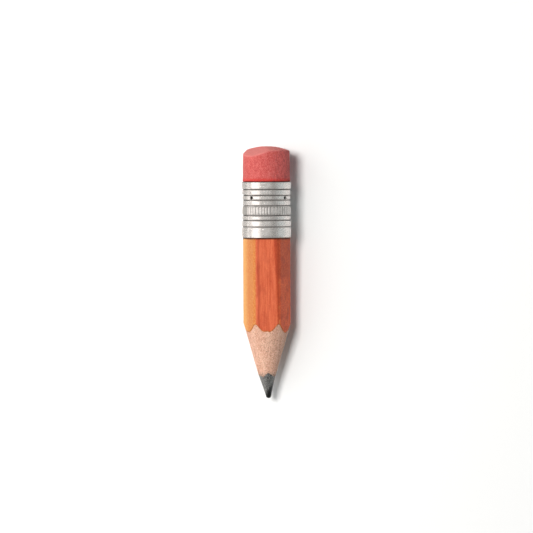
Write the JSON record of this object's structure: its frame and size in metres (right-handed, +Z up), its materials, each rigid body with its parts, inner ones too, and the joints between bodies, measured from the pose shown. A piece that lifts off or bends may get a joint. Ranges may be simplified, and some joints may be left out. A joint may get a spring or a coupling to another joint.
{
  "type": "graphite pencil",
  "caption": "Short, sharpened hexagonal graphite pencil with a lacquered cedar barrel, a crimped aluminium ferrule and a worn rubber eraser, lying on its lower flat.",
  "frame": {"origin": "on the surface the pencil lies on, below the middle of its bounding box", "axes": "+Y towards the eraser, +Z up, +X to the right of someone who looks down with the eraser away from them. The pencil's own axis is tilted 1.87 degrees in the YZ plane, eraser end up, because it rests on the fat end of the ferrule and on the front of its lower flat"},
  "size_m": [0.0082, 0.0426, 0.0086],
  "materials": {
    "lacquer": "glossy orange pencil lacquer over wood",
    "cedar": "bare sharpened cedar, fine straight grain",
    "graphite": "fired graphite and clay, dull metallic sheen where it was cut",
    "slat_glue": "dried white wood glue",
    "ferrule_metal": "drawn and rolled aluminium, satin",
    "eraser_rubber": "worn pink-red eraser rubber"
  },
  "bodies": {
    "root": {"wood_slat_upper": "cedar", "wood_slat_lower": "cedar", "slat_glue_film": "slat_glue", "graphite_core": "graphite", "lacquer_coat": "lacquer", "ferrule": "ferrule_metal", "eraser": "eraser_rubber"}
  },
  "joints": []
}
